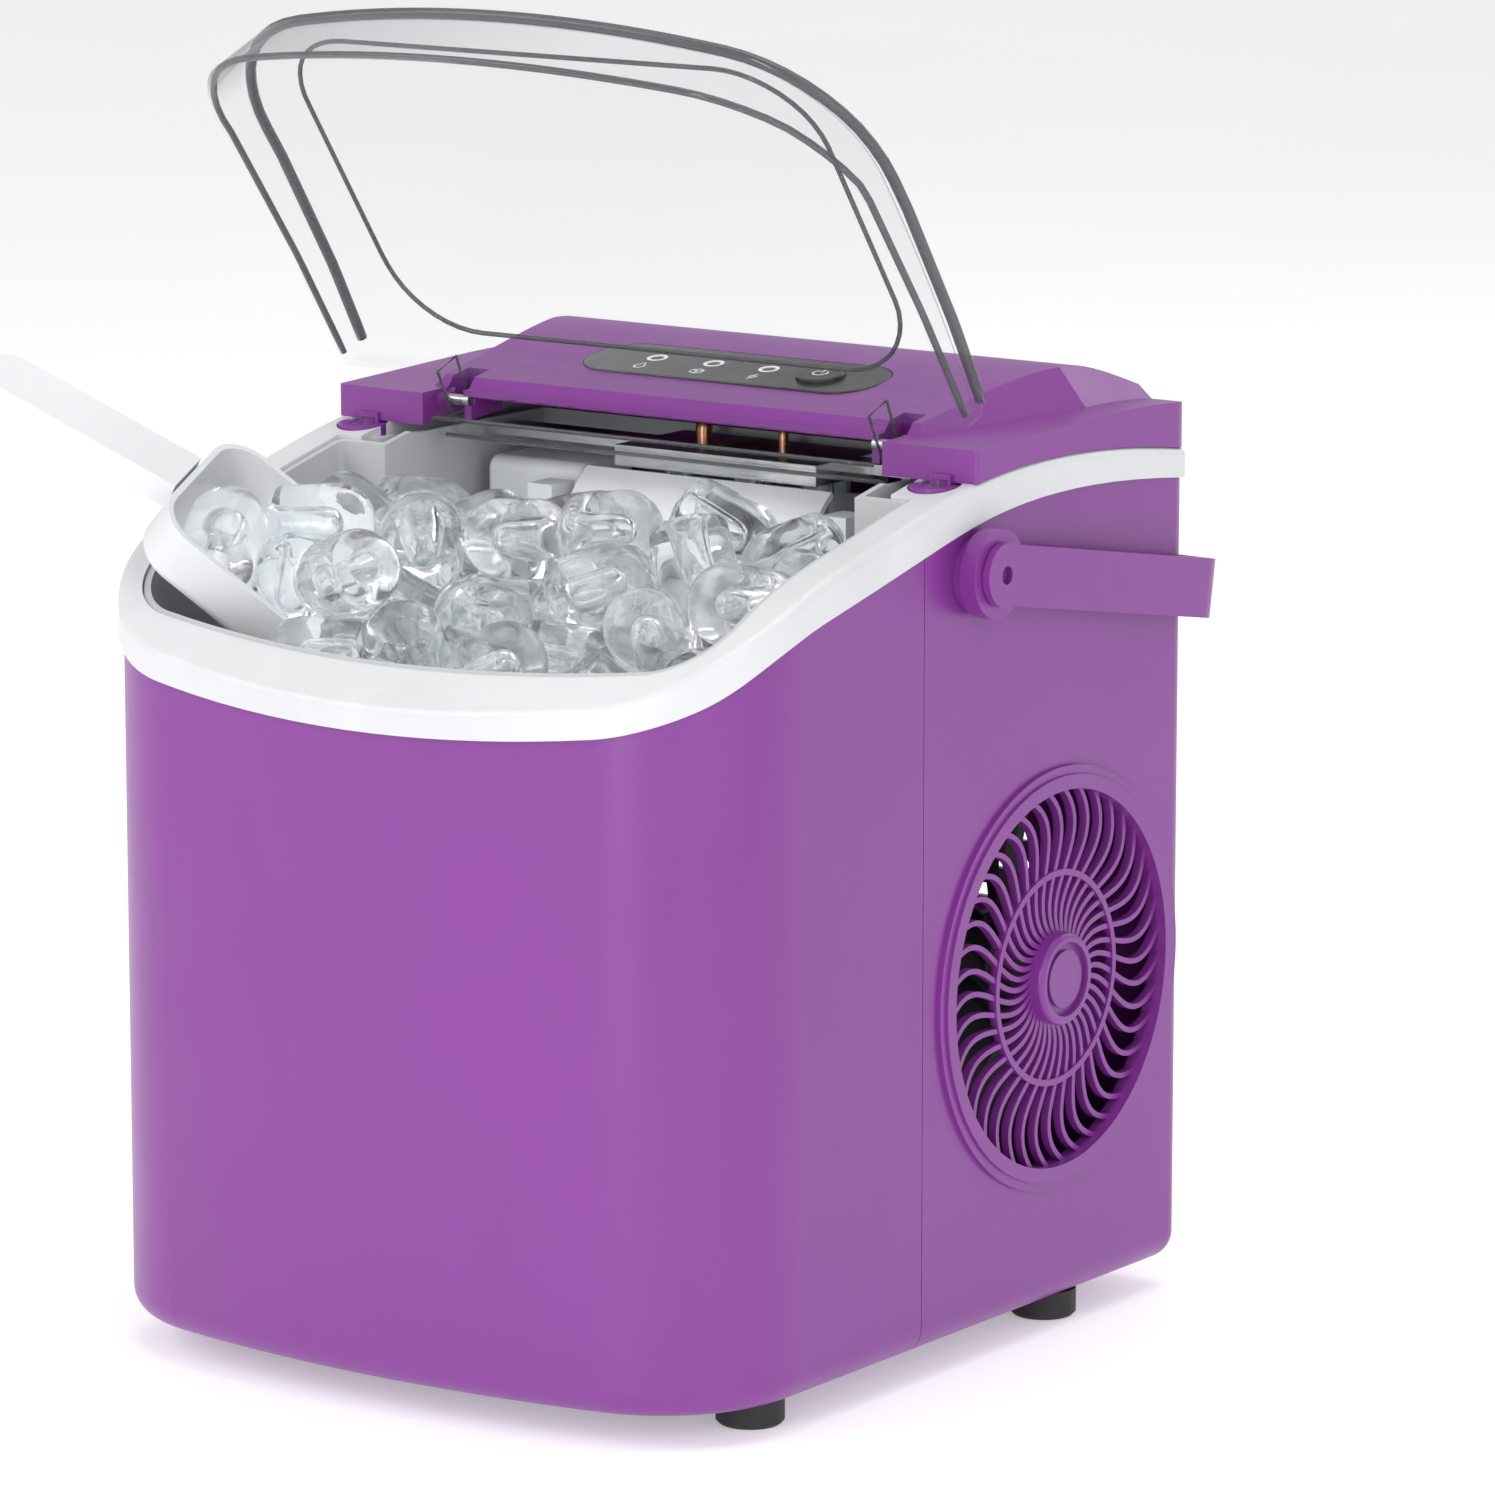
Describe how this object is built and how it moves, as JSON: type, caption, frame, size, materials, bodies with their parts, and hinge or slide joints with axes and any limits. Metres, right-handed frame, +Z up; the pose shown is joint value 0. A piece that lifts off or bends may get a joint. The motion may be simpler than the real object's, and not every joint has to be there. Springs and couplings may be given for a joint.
{
  "type": "countertop ice maker",
  "caption": "Rounded portable countertop bullet ice maker with an open clear lid, lift-out basket, scoop, round side fan grille, top control panel and a folding carry handle.",
  "frame": {"origin": "on the floor, under the middle of the box round the whole machine with its scoop and handle at rest", "axes": "+X towards the side with the fan grille, +Y to the back, +Z up"},
  "size_m": [0.2678, 0.2552, 0.3777],
  "materials": {
    "purple_shell": "semi-gloss purple ABS",
    "white_rim": "satin white ABS",
    "grey_liner": "light grey polypropylene",
    "grey_basket": "pale grey polypropylene",
    "white_moulding": "white ABS",
    "white_scoop": "pale white polypropylene",
    "clear_lid": "clear polystyrene",
    "steel": "bright steel",
    "panel_black": "charcoal film",
    "white_print": "white ring",
    "clear_lens": "smoked lens",
    "button_black": "dark button",
    "circuit_board": "green laminate",
    "nickel_plate": "nickel plated copper",
    "fan_black": "black nylon",
    "motor_steel": "zinc plated",
    "condenser_alloy": "bare aluminium",
    "compressor_black": "black paint",
    "rubber_black": "black rubber",
    "rubber_grey": "grey silicone",
    "copper": "bare copper",
    "base_black": "black polypropylene",
    "pump_blue": "dark nylon",
    "hose_clear": "milky silicone",
    "foam_white": "expanded polystyrene"
  },
  "bodies": {
    "housing": {"front_shell": "purple_shell", "rear_shell": "purple_shell", "top_housing": "purple_shell", "fan_grille": "purple_shell", "handle_pivots": "purple_shell", "rim_bezel": "white_rim", "tank": "grey_liner", "tray_motor": "white_moulding", "tray_bracket": "white_moulding", "ice_sensors": "white_moulding", "hinge_pins": "steel", "control_panel": "panel_black", "light_rings": "white_print", "light_lenses": "clear_lens", "control_board": "circuit_board", "power_board": "circuit_board", "evaporator": "nickel_plate", "fan_motor": "motor_steel", "fan_bracket": "fan_black", "condenser": "condenser_alloy", "compressor": "compressor_black", "compressor_mounts": "rubber_black", "copper_pipes": "copper", "filter_drier": "copper", "base_plate": "base_black", "rubber_feet": "rubber_black", "foot_screws": "steel", "rear_screws": "steel", "housing_screws": "steel", "cord_gland": "rubber_black", "water_pump": "pump_blue", "pump_bracket": "base_black", "water_hose": "hose_clear", "level_probes": "steel", "tank_insulation": "foam_white", "tank_legs": "base_black"},
    "lid": {"lid": "clear_lid"},
    "handle": {"carry_handle": "purple_shell"},
    "basket": {"ice_basket": "grey_basket"},
    "scoop": {"ice_scoop": "white_scoop"},
    "button": {"power_button": "button_black"},
    "fan": {"fan_blade": "fan_black"},
    "tray": {"water_tray": "grey_liner"},
    "shovel": {"ice_shovel": "white_moulding"},
    "drain": {"drain_plug": "rubber_grey"}
  },
  "joints": [
    {"name": "lid_hinge", "type": "hinge", "parent": "housing", "child": "lid", "pos_m": [0.01337, 0.01811, 0.2559], "axis": [-1, 0, 0], "range_deg": [-68, 0]},
    {"name": "handle_swing", "type": "hinge", "parent": "housing", "child": "handle", "pos_m": [0.01337, 0.00951, 0.225], "axis": [1, 0, 0], "range_deg": [0, 100]},
    {"name": "basket_lift", "type": "slide", "parent": "housing", "child": "basket", "axis": [0, 0, 1], "range_m": [0, 0.075]},
    {"name": "scoop_lift_out", "type": "slide", "parent": "basket", "child": "scoop", "axis": [-0.6854, -0.3747, 0.6244], "range_m": [0, 0.16]},
    {"name": "power_press", "type": "slide", "parent": "housing", "child": "button", "axis": [0, 0.1495, -0.9888], "range_m": [0, 0.001], "stiffness_N_per_m": 400, "springref_m": -0.0005},
    {"name": "fan_spin", "type": "hinge", "parent": "housing", "child": "fan", "pos_m": [0.10137, 0.05221, 0.103], "axis": [1, 0, 0], "continuous": true},
    {"name": "tray_tilt", "type": "hinge", "parent": "housing", "child": "tray", "pos_m": [0.02237, 0.04451, 0.21], "axis": [1, 0, 0], "range_deg": [-57, 0]},
    {"name": "shovel_sweep", "type": "hinge", "parent": "housing", "child": "shovel", "pos_m": [0.02237, 0.04451, 0.21], "axis": [1, 0, 0], "range_deg": [0, 57]},
    {"name": "drain_pull", "type": "slide", "parent": "housing", "child": "drain", "axis": [-1, 0, 0], "range_m": [0, 0.012]}
  ],
  "couplings": [
    {"joint": "scoop_lift_out", "follows": "lid_hinge", "m_per_rad": -0.13481},
    {"joint": "shovel_sweep", "follows": "tray_tilt", "ratio": -1}
  ]
}
